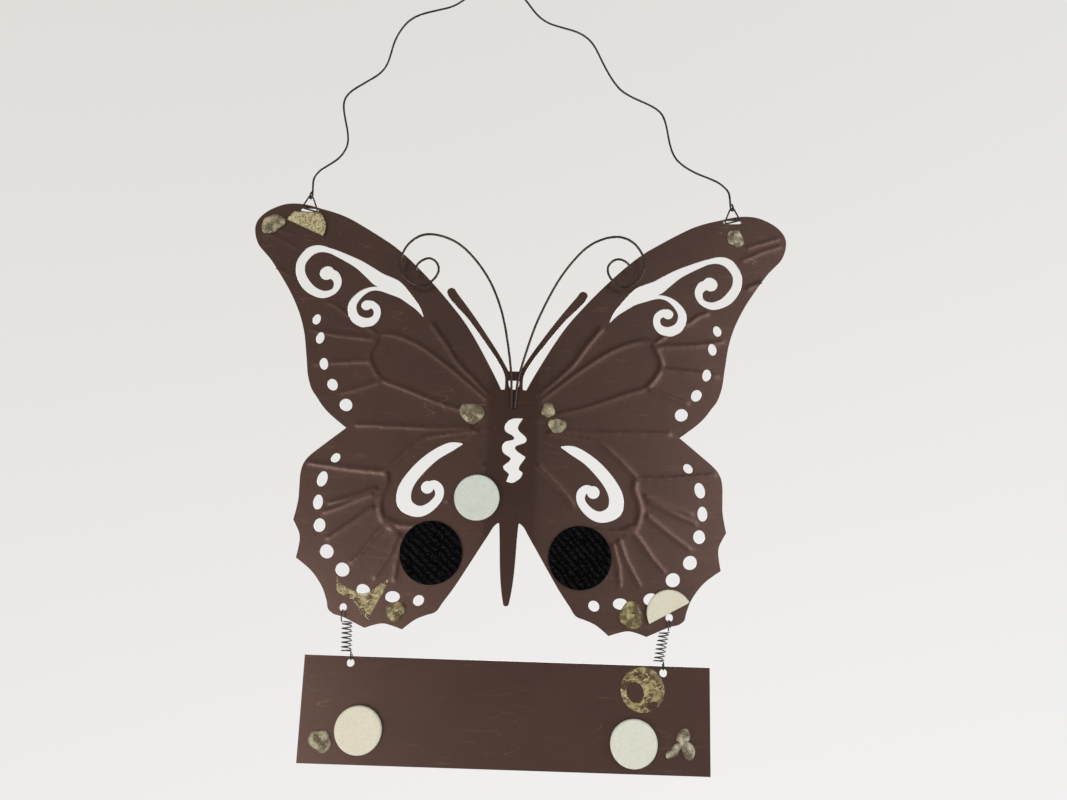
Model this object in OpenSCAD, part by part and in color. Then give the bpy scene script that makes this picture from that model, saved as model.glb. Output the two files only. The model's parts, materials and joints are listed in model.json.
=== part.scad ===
// Hanging butterfly ornament of sheet steel, seen from its back along +Y, with a blank sign on two springs.
// Millimetres. The origin is where the crest of the hanger wire rests on its nail, +Z is up and +X is to the
// right of someone who looks at the back. The front faces +Y, and both wings bend towards it.

/* [Butterfly plate] */
// Width across both wing tips
wing_span = 326; // [306:1:346]
// Height of the wings, from their lowest cusp to their tips
wing_height = 250; // [238:1:262]
// Thickness of the butterfly's sheet
sheet_t = 0.8; // [0.6:0.1:1]
// Width of the flat band along the body
body_w = 28; // [22:1:30]
// How far each wing bends forward from the body, in degrees
wing_angle = 6; // [3:0.5:9]
// Length of the tail below the body
tail_l = 44; // [34:1:52]

/* [Pressed veins] */
// Width of a vein on the back
vein_w = 2.8; // [2.4:0.1:3.4]
// How far a vein stands out on the back
vein_rise = 0.5; // [0.3:0.1:0.6]

/* [Antenna wires] */
// Diameter of the antenna wire
antenna_d = 1.4; // [1:0.1:1.8]
// Gap between a welded antenna wire and the sheet
weld_gap = 0.05; // [0.02:0.01:0.1]

/* [Hanger and links] */
// Diameter of the hanger wire
hanger_d = 1.2; // [1:0.1:1.4]
// Radius of the middle of the wire in each eye of the hanger
eye_r = 2; // [1.8:0.1:2.4]
// Diameter of the link wire
link_d = 1; // [0.8:0.1:1.1]
// Length of a link's straight base, between its corners' crossing points
link_base = 10.5; // [9.5:0.5:11.5]
// Height of a link, from its base to its top, in the middle of the wire
link_h = 9; // [8:0.5:10]
// Turn of each link's plane away from the sheet, in degrees
link_turn = 38; // [34:1:44]
// Gap between a link and what it hangs in
link_gap = 0.3; // [0.25:0.05:0.35]
// Length of the slot that a link passes through
slot_l = 11; // [10.5:0.5:13]
// Width of that slot
slot_w = 2; // [1.8:0.1:2.4]
// Tilt of the slot, outer end up, in degrees
slot_tilt = 4; // [0:1:8]
// Sheet left between the slot and the wing's edge
slot_rim = 2; // [1.6:0.1:2.2]

/* [Springs] */
// Diameter of the spring wire
spring_d = 0.7; // [0.5:0.05:0.7]
// Radius of the middle of the wire in a curl
curl_r = 2.7; // [2.4:0.1:3.2]
// Number of open curls between the two close ones
open_curls = 6; // [4:1:6]
// Distance between close curls
close_pitch = 1.2; // [1.15:0.05:1.4]
// Radius of the end loop through the wing
wing_loop_r = 3.25; // [3.15:0.05:3.4]
// Radius of the end loop through the sign
sign_loop_r = 2.1; // [2:0.1:2.4]
// Diameter of the four spring holes
spring_hole_d = 4.2; // [4:0.1:4.6]
// Sheet left between a spring hole in the wing and the wing's edge
wing_hole_rim = 3; // [2.8:0.1:3.2]
// Sheet left between a spring hole in the sign and the sign's top edge
sign_hole_rim = 1.4; // [1.2:0.1:1.6]
// Gap between a spring's loop and the edge of the wing's hole that it swings on
swing_gap = 0.5; // [0.4:0.05:0.6]

/* [Sign] */
// Width of the sign
sign_w = 222; // [206:1:240]
// Height of the sign
sign_h = 56; // [54:1:70]
// Thickness of the sign's sheet
sign_t = 0.8; // [0.6:0.1:1]
// Gap between the lowest cusps of the wings and the sign
sign_drop = 15.3; // [14.3:0.5:18.3]
// How far the sign hangs to the right of the body
sign_shift = 1.5; // [0:0.5:3]
// How much nearer the body the sign's holes are than the wings' holes
hole_inset = 4.8; // [3:0.2:6]

/* [Pads] */
// Diameter of a felt pad
felt_d = 25.4; // [22:0.1:26]
// Thickness of a felt pad
felt_t = 2.5; // [1.5:0.1:3]
// Diameter of a hook pad
hook_d = 35; // [32:0.5:36]
// Thickness of a hook pad
hook_t = 1.6; // [1:0.1:2.4]
// Gap between the half felt pad on the wing tip and the slot above it
tip_pad_gap = 1.2; // [1:0.1:2]

/* [Glue] */
// Thickness of the torn sheet of glue
glue_sheet_t = 0.9; // [0.6:0.1:1.2]
// Height of the smaller drops of glue
drop_h = 2; // [1:0.1:3]

/* [Hidden] */

sheet_colour = [0.30, 0.21, 0.18];
wire_colour = [0.17, 0.15, 0.15];
felt_colour = [0.89, 0.87, 0.81];
hook_colour = [0.07, 0.07, 0.08];
glue_colour = [0.72, 0.70, 0.55];

round_fn = 48;
wire_fn = 24;
wire_sides = 8;
thin_sides = 6;
curve_steps = 2;
oval_sides = 16;
clear = 1; // how far a cutting shape runs past what it cuts

// Places on a wing are shares in percent: across, of the half span from the body's middle, and up, of the
// wings' height above the height at which the tail leaves the body. The body's middle is at zero height.
tail_root = -0.06 * wing_height;
function across(share) = share * wing_span / 200;
function up(share) = tail_root + share * wing_height / 100;
function place(p) = [across(p[0]), up(p[1])];
function flip(points) = [for (q = backwards(points)) [-q[0], q[1]]];

// The sheet's middle is at y = 0 on the body, and this far forward at x
function bend(x) = max(0, abs(x) - body_w / 2) * tan(wing_angle);

function unit(v) = v / norm(v);
function backwards(p) = [for (i = [len(p) - 1:-1:0]) p[i]];

// A smooth curve through points, with steps pieces between neighbours
function knot(p, i) = p[max(0, min(len(p) - 1, i))];
function between(a, b, c, d, t) =
  0.5 * (2 * b + (c - a) * t + (2 * a - 5 * b + 4 * c - d) * t * t + (3 * b - a - 3 * c + d) * t * t * t);
function curve(p, steps) = concat(
  [for (i = [0:len(p) - 2], k = [0:steps - 1])
    between(knot(p, i - 1), p[i], p[i + 1], knot(p, i + 2), k / steps)],
  [p[len(p) - 1]]);

// A round arc about a centre, from one angle to another
function arc(centre, r, from, to, n) =
  [for (i = [0:n]) centre + r * [cos(from + (to - from) * i / n), sin(from + (to - from) * i / n)]];

// ---- the butterfly's outline, right half, from the foot of the antenna fork round to the tail ----
fork_inner = [[2.1, 35], [5.2, 38.5], [10.3, 43.5], [16.2, 49], [21.8, 53.8]];
fork_tip_r = 2.6;
fork_outer = [[24.9, 52.6], [18.2, 48.1], [11.7, 42.6], [5.8, 37.1], [3.3, 33.8], [3.2, 30.7]];
fore_top = [[4.4, 30.6], [8.5, 35.7], [18.1, 46.2], [31.5, 56.6], [42.8, 63.8], [51.2, 67.8], [64.8, 73.1],
  [74.7, 75.4], [82, 76.7], [89, 76.8], [95.6, 75.1], [99.4, 72.6], [100, 69.8], [98, 66.2], [93, 62.6],
  [87.1, 57.2], [81.8, 51.4], [77.6, 44.3], [74.3, 32.6], [70.9, 28.5], [66.3, 24.9], [59.1, 21.2]];
hind_upper = [[59.1, 21.2], [67.6, 16.8], [72.7, 13.8], [74.4, 10.6], [74.4, 4.5], [75.6, -0.1]];
hind_side = [[75.6, -0.1], [73, -3.2], [72.8, -5.6], [73.5, -8.6]];
hind_corner = [[73.5, -8.6], [67.6, -11.4], [63, -15.3], [60.4, -19.8]];
hind_low = [[60.4, -19.8], [58.6, -20.6], [55.5, -21.1], [51.5, -22.2], [47.6, -23.3]];
hind_arch = [[47.6, -23.3], [41.4, -22.2], [34.7, -23.3]];
hind_inner = [[34.7, -23.3], [30.1, -21], [23.8, -19.4]];
hind_body = [[23.8, -19.4], [17.7, -13.9], [9.8, -5.5], [4.6, -0.1], [3.3, 0.2]];
tail_end_r = 1.6;

function run(p) = curve([for (q = p) place(q)], curve_steps);
function rest_of(p) = [for (i = [1:len(p) - 1]) p[i]];
fork_tip = place([23.9, 54]);
tail_tip = [0, tail_root - tail_l + tail_end_r];
half_outline = concat(
  run(fork_inner),
  arc(fork_tip, fork_tip_r, 130, -40, 4),
  rest_of(run(fork_outer)),
  run(fore_top), rest_of(run(hind_upper)), rest_of(run(hind_side)), rest_of(run(hind_corner)),
  rest_of(run(hind_low)), rest_of(run(hind_arch)), rest_of(run(hind_inner)), rest_of(run(hind_body)),
  arc(tail_tip, tail_end_r, 0, -75, 3));
outline = concat(half_outline, flip(half_outline));

// ---- cut-outs: scrolls are ribbons of [across, up, half width in mm] ----
big_scroll = [[33.7, 47.9, 0.2], [35.8, 50, 1.4], [40, 52.7, 2.9], [44.9, 55.4, 4.2], [50.7, 57.1, 4.3],
  [58.7, 60.9, 2.8], [67.4, 63.8, 1.9], [71, 64.7, 1.7], [74.5, 65.1, 2.4], [78, 64.4, 3.1], [80.7, 62, 2.9],
  [81.1, 60.1, 2.8], [80.4, 58.1, 2.8], [78.1, 55.8, 2.9], [75.2, 54.3, 2.6], [71.6, 53.5, 2.4],
  [68.5, 54, 2], [66.9, 55, 2], [66.4, 56.6, 2.4], [68, 58.3, 3], [70.8, 58.9, 3.6]];
big_bulb = [70.8, 58.9, 8.8, 8.8, 0];
small_scroll = [[35.8, 50, 1.1], [41.4, 52.8, 1.7], [46.5, 54.2, 1.8], [50.9, 54.9, 1.3], [54.4, 54.7, 1.4],
  [57.5, 53.5, 2], [59.8, 51.6, 2.4], [60.2, 49.7, 2.6], [58.8, 47.6, 2.8], [55.3, 46.5, 3],
  [52.2, 47, 2.6], [50.8, 48.4, 2.1], [51.2, 50, 2.1], [53.3, 51, 2.3], [54.7, 51, 2.4]];
small_bulb = [54.9, 50.8, 6.4, 6.4, 0];
hind_scroll = [[17.2, 17.9, 0.4], [21.2, 17.2, 2.6], [26.3, 15.4, 3.1], [30.9, 12.8, 3.5], [34.7, 9.8, 3.7],
  [36.7, 7, 4.1], [36.4, 4.2, 4.2], [33.7, 2.8, 3.5], [30.5, 2.5, 3], [27.2, 3.6, 2.6], [24.6, 5.7, 2.4],
  [24.6, 7.6, 2.5], [26.4, 8.6, 2.3], [28, 8.3, 2.3]];
hind_bulb = [28.7, 7.9, 7.2, 7.2, 0];
// Ovals are [across, up, width in mm, height in mm, tilt]
ovals = [[73.2, 47.3, 5, 6.6, 10], [71.3, 42.7, 5, 7.2, 8], [69.1, 36.4, 5, 7.5, -14],
  [65.3, 31.4, 5.8, 7.6, -32], [59.8, 26.6, 7, 8, -50],
  [62.1, 14.2, 5, 6, 45], [66.3, 9.3, 6, 9, 12], [67.2, 4, 5.7, 8.5, 0], [66, -1.2, 6.8, 7.7, -10],
  [62.7, -7, 7.4, 8.3, -50], [56.7, -10.9, 7.4, 8.3, -60], [48.9, -15.2, 6.2, 8, -70],
  [38.6, -16.4, 6, 8.3, 90], [29.6, -17, 5.6, 6.4, 60]];
// Slot in the body, in mm about the body's middle
body_slot_right = [[5.9, 45.2], [3.5, 41.1], [3.6, 38.4], [7.9, 34.1], [7.6, 31.5], [2.3, 29.2], [2.6, 26.8],
  [6.6, 24.1], [7.9, 22.7], [4.8, 17.9], [4.8, 15.6], [6.7, 14.2], [5.2, 10.9], [1.6, 8.5]];
body_slot_left = [[1.6, 8.5], [-2.2, 9], [-0.9, 13.1], [-3.3, 15.3], [-4.4, 17.7], [-1, 20.5], [-0.5, 22.5],
  [-4.2, 24.9], [-5.4, 28], [-3.9, 31.5], [0.9, 32.9], [0.7, 34.8], [-3.7, 37.5], [-4.3, 40.4],
  [-2.9, 43], [0.3, 45], [5.9, 45.2]];
// Hole in the head, under the bar that joins the two antennae
head_hole = [[-3.1, 67.1], [3.1, 67.1], [3, 64.5], [1.6, 61.8], [-1.6, 61.8], [-3, 64.5]];

// ---- veins of the right wing: [across, up], with the width at both ends as a share of vein_w ----
veins = [
  [0.5, 0.9, [[8.6, 29.2], [14.4, 33], [20.8, 37.2], [24.9, 41.3], [30.8, 46.4]]],
  [0.5, 0.9, [[9.3, 28.2], [20.3, 34.2], [25, 36.6], [32.1, 40], [38.7, 42.3], [46, 43.8], [50.2, 43.2]]],
  [0.5, 1, [[15.9, 25.5], [23.5, 26.7], [32.4, 28.9], [41.3, 31.2], [47.3, 32.6], [50.9, 35.5],
    [52.7, 38.4], [51.5, 40.7], [49.6, 43.4]]],
  [0.6, 0.7, [[14, 21.6], [29.6, 21.5], [56, 22.1]]],
  [1, 0.5, [[50.6, 42.5], [65.6, 43.5], [75.4, 44.8]]],
  [1, 0.5, [[52.3, 37.2], [65.5, 36.8], [73, 36.3]]],
  [1, 0.5, [[48, 32.3], [56.3, 30.5], [62.4, 29.4]]],
  [0.6, 0.6, [[50.2, 43.4], [56, 46.4], [62.5, 48.7], [66.3, 50.7], [70, 51.6]]],
  [0.6, 0.6, [[84.5, 58.3], [90.2, 60.3]]],
  [0.4, 0.4, [[82.9, 65.3], [91.3, 68.2], [98, 69.8]]],
  [0.4, 0.4, [[84.9, 68.8], [97.5, 71.8]]],
  [0.5, 1, [[12, 21], [23.2, 20.1], [30.3, 19.3], [35.4, 16.8], [40.5, 13.7], [44.1, 11.2]]],
  [1, 0.6, [[43.6, 11.2], [56.8, 11.8], [72, 13]]],
  [1, 0.5, [[46.6, 7.5], [56.8, 5], [63.5, 3.8]]],
  [1, 0.5, [[47.7, 6.4], [59.3, 3.1], [65, 1.7]]],
  [1, 0.5, [[47.2, 3.2], [56.7, -1.4], [63, -4.2]]],
  [1, 0.5, [[42.7, -0.8], [45.7, -2.9], [49.8, -6.6], [54, -9.4]]],
  [1, 0.5, [[37.8, -2.4], [40.3, -6.8], [45.4, -12.6]]],
  [0.8, 0.5, [[35.8, -3.4], [37.9, -8.7], [38.4, -13]]],
  [0.8, 1, [[28.4, -0.6], [33.8, -0.8], [38.4, -0.6], [43, 0.6]]],
  [0.8, 0.5, [[9, 13.4], [14.1, 10.4], [19.2, 7], [22, 4.6]]],
  [1, 1, [[43.8, 11.4], [43.1, 9], [44.6, 6.4], [45.2, 3.4], [43, -0.4], [39.6, -1.4]]]];

// ---- slots and spring holes, placed from the wing's edge ----
slot_edge = place([79.4, 76.35]);
slot_at = slot_edge - [0, slot_rim + slot_w / 2];
wing_hole_edge = place([55.46, -21.1]);
wing_hole_at = wing_hole_edge + [0, wing_hole_rim + spring_hole_d / 2];

// ---- the swing axes ----
link_y = bend(slot_at[0]);
// Middle of a link's base in its slot, and of the hanger's eye that holds its top
link_base_z = slot_at[1] + slot_w / 2 - link_gap - link_d / 2;
eye_low_z = link_base_z + link_h - link_gap - (link_d + hanger_d) / 2;
// Middle of the spring wire in the wing's hole, and in the sign's hole
spring_y = bend(wing_hole_at[0]);
spring_top_z = wing_hole_at[1] - spring_hole_d / 2 + swing_gap + spring_d / 2;
sign_top_z = up(-23.3) - sign_drop;
sign_hole_z = sign_top_z - sign_hole_rim - spring_hole_d / 2;
sign_seat_gap = 0.25;
spring_low_z = sign_hole_z + spring_hole_d / 2 - sign_seat_gap - spring_d / 2;
sign_hole_inner = wing_hole_at[0] - hole_inset;

// ---- the hanger wire: its waves in mm about its crest, from the left eye to the right one ----
hanger_rise = 161; // from the middle of the slots to the crest
hanger_crest = [-20, slot_at[1] + hanger_rise];
hanger_left = [[-109.2, -141], [-105.5, -134.5], [-95.1, -127], [-89.6, -117.5], [-90.5, -106.4],
  [-94.4, -89.8], [-89.8, -79.6], [-73.2, -68.1], [-67.5, -57.9], [-64.7, -43.5], [-57.3, -29.9],
  [-46.6, -23.4], [-30.1, -18.7], [-22, -13.2], [-11, -4.5]];
hanger_right = [[10, -4], [18.3, -12], [25.6, -22.2], [35.1, -29.1], [51.8, -33.7], [62.1, -41.6],
  [68.8, -55.6], [79.9, -74.3], [96.3, -82.7], [107.2, -90.3], [110.8, -107.8], [115.2, -120.5],
  [127, -129], [141, -134.5], [148.2, -141.5]];
eye_sweep = 280;

// ---- the antenna wires' routes, in mm about the middle of the bar on the head ----
head_z = up(35);
antenna_route_left = [[-0.9, -22.5], [-1.3, -10], [-1.9, 0], [-4.4, 16.6], [-8.4, 34.9], [-15.9, 53.4],
  [-26.7, 68.4], [-38.4, 78.2], [-52.3, 82], [-61.2, 79.3], [-67.6, 71.9], [-69.8, 61.2], [-65.4, 53.4],
  [-58.4, 49.7], [-51.3, 51.6], [-46.6, 58.3], [-48, 64.2], [-53.2, 67], [-59.2, 63.2], [-60.3, 58.5]];
antenna_route_right = [[0.9, -22.3], [1.7, -10], [3.1, -1], [9.2, 21.1], [14.5, 35.5], [23.2, 54],
  [33.3, 68.9], [43.7, 79.1], [57.7, 83.9], [68.3, 79.9], [74.2, 70.2], [73.6, 61.6], [69.2, 55],
  [61.6, 52.3], [54.5, 57.3], [52.6, 64.6], [57.8, 69.7], [63.7, 68], [66.7, 63.8]];

// ---- pads and glue: places on the wings in percent as above, on the sign in mm from its top's middle ----
felt_body_at = [-18.4, up(5.8)];
hook_left_at = place([-26.3, -6.6]);
hook_right_at = place([24.6, -6.7]);
half_wing_turn = 28;
half_tip_at = place([-80.4, 70.4]);
half_tip_turn = -25;
felt_sign_left_at = [-0.355 * sign_w, -0.68 * sign_h];
felt_sign_right_at = [0.314 * sign_w, -0.72 * sign_h];
disc_d = 24;
disc_rim = 0.6;
disc_at = [0.335 * sign_w, -disc_rim - disc_d / 2];
corner_left_at = [-0.446 * sign_w, -0.79 * sign_h];
corner_right_at = [0.439 * sign_w, -0.73 * sign_h];
drop_sides = 12;

// ---- the whole part stands so that the underside of the crest is at the origin ----
module hung() translate([-hanger_crest[0], -link_y, -hanger_crest[1] + hanger_d / 2]) children();
module both_sides() {
  children();
  mirror([1, 0, 0]) children();
}

module on_side(side) {
  if (side < 0) mirror([1, 0, 0]) children();
  else children();
}

// ---- shapes that repeat ----
// A prism along Y over a shape drawn in X and Z
module across_sheet() rotate([90, 0, 0]) linear_extrude(80, center = true) children();

// The layer of the bent sheet from y = near to y = far of its middle, over the whole butterfly
module layer(near, far) {
  w = wing_span / 2 + clear;
  folds = [-w, -body_w / 2, body_w / 2, w];
  near_edge = [for (x = folds) [x, bend(x) + near]];
  far_edge = [for (x = folds) [x, bend(x) + far]];
  translate([0, 0, -wing_height]) linear_extrude(2 * wing_height)
    polygon(concat(near_edge, backwards(far_edge)));
}

// The two long edges of a ribbon along points [x, z, half width], as one outline
function edge_of(p, side) = [for (i = [0:len(p) - 1])
  let (a = knot(p, i - 1), b = knot(p, i + 1), d = unit([b[0] - a[0], b[1] - a[1]]))
  [p[i][0], p[i][1]] + side * p[i][2] * [-d[1], d[0]]];
function ribbon(p) = concat(edge_of(p, 1), backwards(edge_of(p, -1)));

module scroll(points, bulb) {
  polygon(ribbon(curve([for (p = points) [across(p[0]), up(p[1]), p[2]]], curve_steps)));
  placed_oval(bulb);
}

module oval(w, h, turn) rotate(turn)
  polygon([for (k = [0:oval_sides - 1]) let (a = 360 * k / oval_sides) [w / 2 * cos(a), h / 2 * sin(a)]]);
module placed_oval(o) translate(place(o)) oval(o[2], o[3], o[4]);

// One vein, whose width changes evenly from its root to its end. Curved ones have more than three points.
module vein(v, width) {
  p = curve([for (q = v[2]) place(q)], len(v[2]) > 3 ? 2 : 1);
  n = len(p) - 1;
  polygon(ribbon([for (i = [0:n]) [p[i][0], p[i][1], (v[0] + (v[1] - v[0]) * i / n) * width / 2]]));
}

// A wire along any route, as one tube with this many sides
function directions(p) = [for (i = [0:len(p) - 1]) unit(knot(p, i + 1) - knot(p, i - 1))];
function square_to(n, t) = unit(n - (n * t) * t);
function sideways(t, first) = [for (i = 0, n = square_to(first, t[0]); i < len(t);
  i = i + 1, n = i < len(t) ? square_to(n, t[i]) : n) n];
module wire(p, d, sides, first) {
  t = directions(p);
  n = sideways(t, first);
  last = len(p) - 1;
  function id(i, k) = i * sides + k % sides;
  polyhedron(
    [for (i = [0:last], k = [0:sides - 1])
      let (a = 360 * k / sides) p[i] + d / 2 * (cos(a) * n[i] + sin(a) * cross(t[i], n[i]))],
    concat(
      [for (i = [0:last - 1], k = [0:sides - 1]) [id(i, k), id(i + 1, k), id(i + 1, k + 1)]],
      [for (i = [0:last - 1], k = [0:sides - 1]) [id(i, k), id(i + 1, k + 1), id(i, k + 1)]],
      [for (k = [1:sides - 2]) [id(0, 0), id(0, k), id(0, k + 1)]],
      [for (k = [1:sides - 2]) [id(last, 0), id(last, k + 1), id(last, k)]]));
}

// ---- the butterfly plate: a sheet bent along the body, with pressed veins and cut-outs ----
module slot() translate(slot_at) rotate(slot_tilt) {
  square([slot_l - slot_w, slot_w], center = true);
  for (side = [-1, 1]) translate([side * (slot_l - slot_w) / 2, 0]) circle(d = slot_w, $fn = round_fn);
}

module cut_outs() {
  both_sides() {
    scroll(big_scroll, big_bulb);
    scroll(small_scroll, small_bulb);
    scroll(hind_scroll, hind_bulb);
    for (o = ovals) placed_oval(o);
    slot();
    translate(wing_hole_at) circle(d = spring_hole_d, $fn = round_fn);
  }
  polygon(concat(rest_of(curve(body_slot_right, 2)), rest_of(curve(body_slot_left, 2))));
  polygon(head_hole);
}

module vein_marks(width) both_sides() for (v = veins) vein(v, width);

module butterfly_plate() color(sheet_colour) hung() difference() {
  union() {
    intersection() {
      layer(-sheet_t / 2, sheet_t / 2);
      across_sheet() difference() { polygon(outline); cut_outs(); }
    }
    intersection() {
      layer(-sheet_t / 2 - vein_rise, 0);
      across_sheet() difference() { vein_marks(vein_w); cut_outs(); }
    }
  }
  intersection() {
    layer(sheet_t / 2 - vein_rise, sheet_t / 2 + clear);
    across_sheet() vein_marks(vein_w - 2 * sheet_t);
  }
}

// ---- antenna wires, welded to the back of the head and the chest ----
module antenna(route) color(wire_colour) hung() {
  y = -sheet_t / 2 - weld_gap - antenna_d / 2;
  wire([for (q = curve(route, 2)) [q[0], y, head_z + q[1]]], antenna_d, thin_sides, [0, 1, 0]);
}
module antenna_left() antenna(antenna_route_left);
module antenna_right() antenna(antenna_route_right);

// ---- hanger wire, with an open eye at each end ----
// The eye's points from where the wire reaches it, over its low side. Its plane crosses the link's plane.
function eye_points(side) = [for (a = [180:20:180 + eye_sweep])
  [side * slot_at[0] + side * eye_r * cos(a) * sin(link_turn), link_y + eye_r * cos(a) * cos(link_turn),
    eye_low_z + eye_r + eye_r * sin(a)]];
function wave(points) = [for (q = points) [hanger_crest[0] + q[0], link_y, hanger_crest[1] + q[1]]];
module hanger_wire() color(wire_colour) hung()
  wire(concat(
    backwards(eye_points(-1)),
    curve(wave(concat(hanger_left, [[0, 0]], hanger_right)), curve_steps),
    eye_points(1)), hanger_d, wire_sides, [0, 1, 0]);

// ---- links: closed rings with three round corners ----
// Corners [x, z, radius of the middle of the wire], in the link's own plane, about the middle of its base
base_corner_r = 1.2;
top_corner_r = 1.6;
// Where the straight legs would meet above the base, so that the round top's wire ends up at link_h
top_centre_z = link_h - top_corner_r;
top_share = 2 * top_corner_r / link_base;
legs_spare = 1 - top_share * top_share;
legs_root = sqrt(pow(top_share * top_centre_z, 2) + legs_spare * pow(top_corner_r, 2));
legs_meet_z = (top_centre_z + legs_root) / legs_spare;
link_corners = [[-link_base / 2, 0, base_corner_r], [link_base / 2, 0, base_corner_r],
  [0, legs_meet_z, top_corner_r]];
// The wire necks by this much where it is bent, and the bends run this far into the straight legs
corner_neck = 0.02;
corner_run = 0.1;

function link_corner(i) = let (c = link_corners[i % 3]) [c[0], c[1]];
function towards(i, j) = unit(link_corner(j) - link_corner(i));
// Half of a corner's angle, and the way from the corner to where its bend meets the leg
function corner_half(i) = acos(towards(i, i + 1) * towards(i, i + 2)) / 2;
function bend_reach(i) = link_corners[i % 3][2] / tan(corner_half(i));

module link_leg(i) {
  from = link_corner(i) + bend_reach(i) * towards(i, i + 1);
  to = link_corner(i + 1) - bend_reach(i + 1) * towards(i, i + 1);
  translate(from) rotate([0, 0, atan2(to[1] - from[1], to[0] - from[0])]) rotate([0, 90, 0])
    cylinder(h = norm(to - from), d = link_d, $fn = wire_fn);
}
module link_bend(i) {
  r = link_corners[i][2];
  middle = link_corner(i) + unit(towards(i, i + 1) + towards(i, i + 2)) * r / sin(corner_half(i));
  spoke = link_corner(i) + bend_reach(i) * towards(i, i + 2) - middle;
  extra = corner_run / r * 180 / PI;
  translate(middle) rotate([0, 0, atan2(spoke[1], spoke[0]) - extra])
    rotate_extrude(angle = 180 - 2 * corner_half(i) + 2 * extra, $fn = round_fn)
    translate([r, 0]) circle(d = link_d - corner_neck, $fn = wire_fn);
}
module link(side) color(wire_colour) hung() on_side(side) translate([slot_at[0], link_y, link_base_z])
  rotate([0, 0, -link_turn]) rotate([90, 0, 0]) for (i = [0:2]) {
    link_leg(i);
    link_bend(i);
  }
module link_left() link(-1);
module link_right() link(1);

// ---- springs: a loop through the wing, a coil, and a loop through the sign, as one wire ----
curl_rings = 8;
loop_step = 30;
loop_sweep = 270;
function turns_of(side) = open_curls + (side > 0 ? 2 : 1.5);
// How far the coil has come down after n turns, close at both ends and open between them
function coil_drop(n, turns, height) =
  min(n, 1) * close_pitch
  + max(0, min(n, turns - 1) - 1) * (height - 2 * close_pitch) / (turns - 2)
  + max(0, n - (turns - 1)) * close_pitch;
function spring_route(side) =
  let (top_x = side * wing_hole_at[0], low_x = sign_shift + side * sign_hole_inner,
    wing_loop_z = spring_top_z - wing_loop_r, sign_loop_z = spring_low_z + sign_loop_r,
    start_z = wing_loop_z - wing_loop_r, end_z = sign_loop_z + sign_loop_r,
    turns = turns_of(side), rings = turns * curl_rings,
    start_x = top_x - side * curl_r, end_x = low_x - curl_r, start = side > 0 ? 0 : 180)
  concat(
    [[top_x, -side * wing_loop_r, wing_loop_z - spring_d]],
    [for (a = [loop_sweep:-loop_step:loop_step])
      [top_x, side * wing_loop_r * sin(a), wing_loop_z - wing_loop_r * cos(a)]],
    [for (i = [0:rings]) let (n = i / curl_rings, a = start - 360 * n)
      [start_x + (end_x - start_x) * n / turns + curl_r * cos(a), curl_r * sin(a),
        start_z - coil_drop(n, turns, start_z - end_z)]],
    [for (a = [loop_step:loop_step:loop_sweep])
      [low_x, -sign_loop_r * sin(a), sign_loop_z + sign_loop_r * cos(a)]],
    [[low_x, sign_loop_r, sign_loop_z + spring_d]]);
function self_gap(p, apart) =
  min([for (i = [0:len(p) - 1 - apart], j = [i + apart:len(p) - 1]) norm(p[i] - p[j])]);
module spring(side) color(wire_colour) hung() translate([0, spring_y, 0])
  wire(spring_route(side), spring_d, thin_sides, [1, 0, 0]);
module spring_left() spring(-1);
module spring_right() spring(1);
for (side = [-1, 1])
  echo(least_gap_of_spring = self_gap(spring_route(side), curl_rings - 2) - spring_d);

// ---- sign ----
module on_sign(depth) translate([sign_shift, spring_y - sign_t / 2, sign_top_z]) rotate([90, 0, 0])
  linear_extrude(depth) children();
module sign_plate() color(sheet_colour) hung() translate([0, sign_t, 0]) on_sign(sign_t) difference() {
  translate([-sign_w / 2, -sign_h]) square([sign_w, sign_h]);
  for (side = [-1, 1]) translate([side * sign_hole_inner, sign_hole_z - sign_top_z])
    circle(d = spring_hole_d, $fn = round_fn);
}

// ---- pads: each wing pad follows the bent sheet, on its face or on the veins that cross below it ----
module wing_pad(seat, thick) intersection() {
  layer(-sheet_t / 2 - seat - thick, -sheet_t / 2 - seat);
  across_sheet() children();
}
module half_disc(d) intersection() {
  circle(d = d, $fn = round_fn);
  translate([-d, 0]) square([2 * d, d]);
}
module felt_pad_body() color(felt_colour) hung() wing_pad(vein_rise, felt_t)
  translate(felt_body_at) circle(d = felt_d, $fn = round_fn);
module felt_pad_sign_left() color(felt_colour) hung() on_sign(felt_t)
  translate(felt_sign_left_at) circle(d = felt_d, $fn = round_fn);
module felt_pad_sign_right() color(felt_colour) hung() on_sign(felt_t)
  translate(felt_sign_right_at) circle(d = felt_d, $fn = round_fn);
module half_felt_pad_wing() color(felt_colour) hung() wing_pad(0, felt_t)
  translate(wing_hole_at) rotate(half_wing_turn) translate([1.1, spring_hole_d / 2 + 0.15]) half_disc(felt_d);
module half_felt_pad_tip() color(glue_colour) hung() wing_pad(0, felt_t) difference() {
  translate(half_tip_at) rotate(half_tip_turn) half_disc(felt_d);
  translate([-slot_at[0], slot_at[1]]) rotate(-slot_tilt)
    translate([-felt_d, -slot_w / 2 - tip_pad_gap]) square([2 * felt_d, felt_d]);
}
module hook_pad_left() color(hook_colour) hung() wing_pad(vein_rise, hook_t)
  translate(hook_left_at) circle(d = hook_d, $fn = round_fn);
module hook_pad_right() color(hook_colour) hung() wing_pad(vein_rise, hook_t)
  translate(hook_right_at) circle(d = hook_d, $fn = round_fn);

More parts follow.
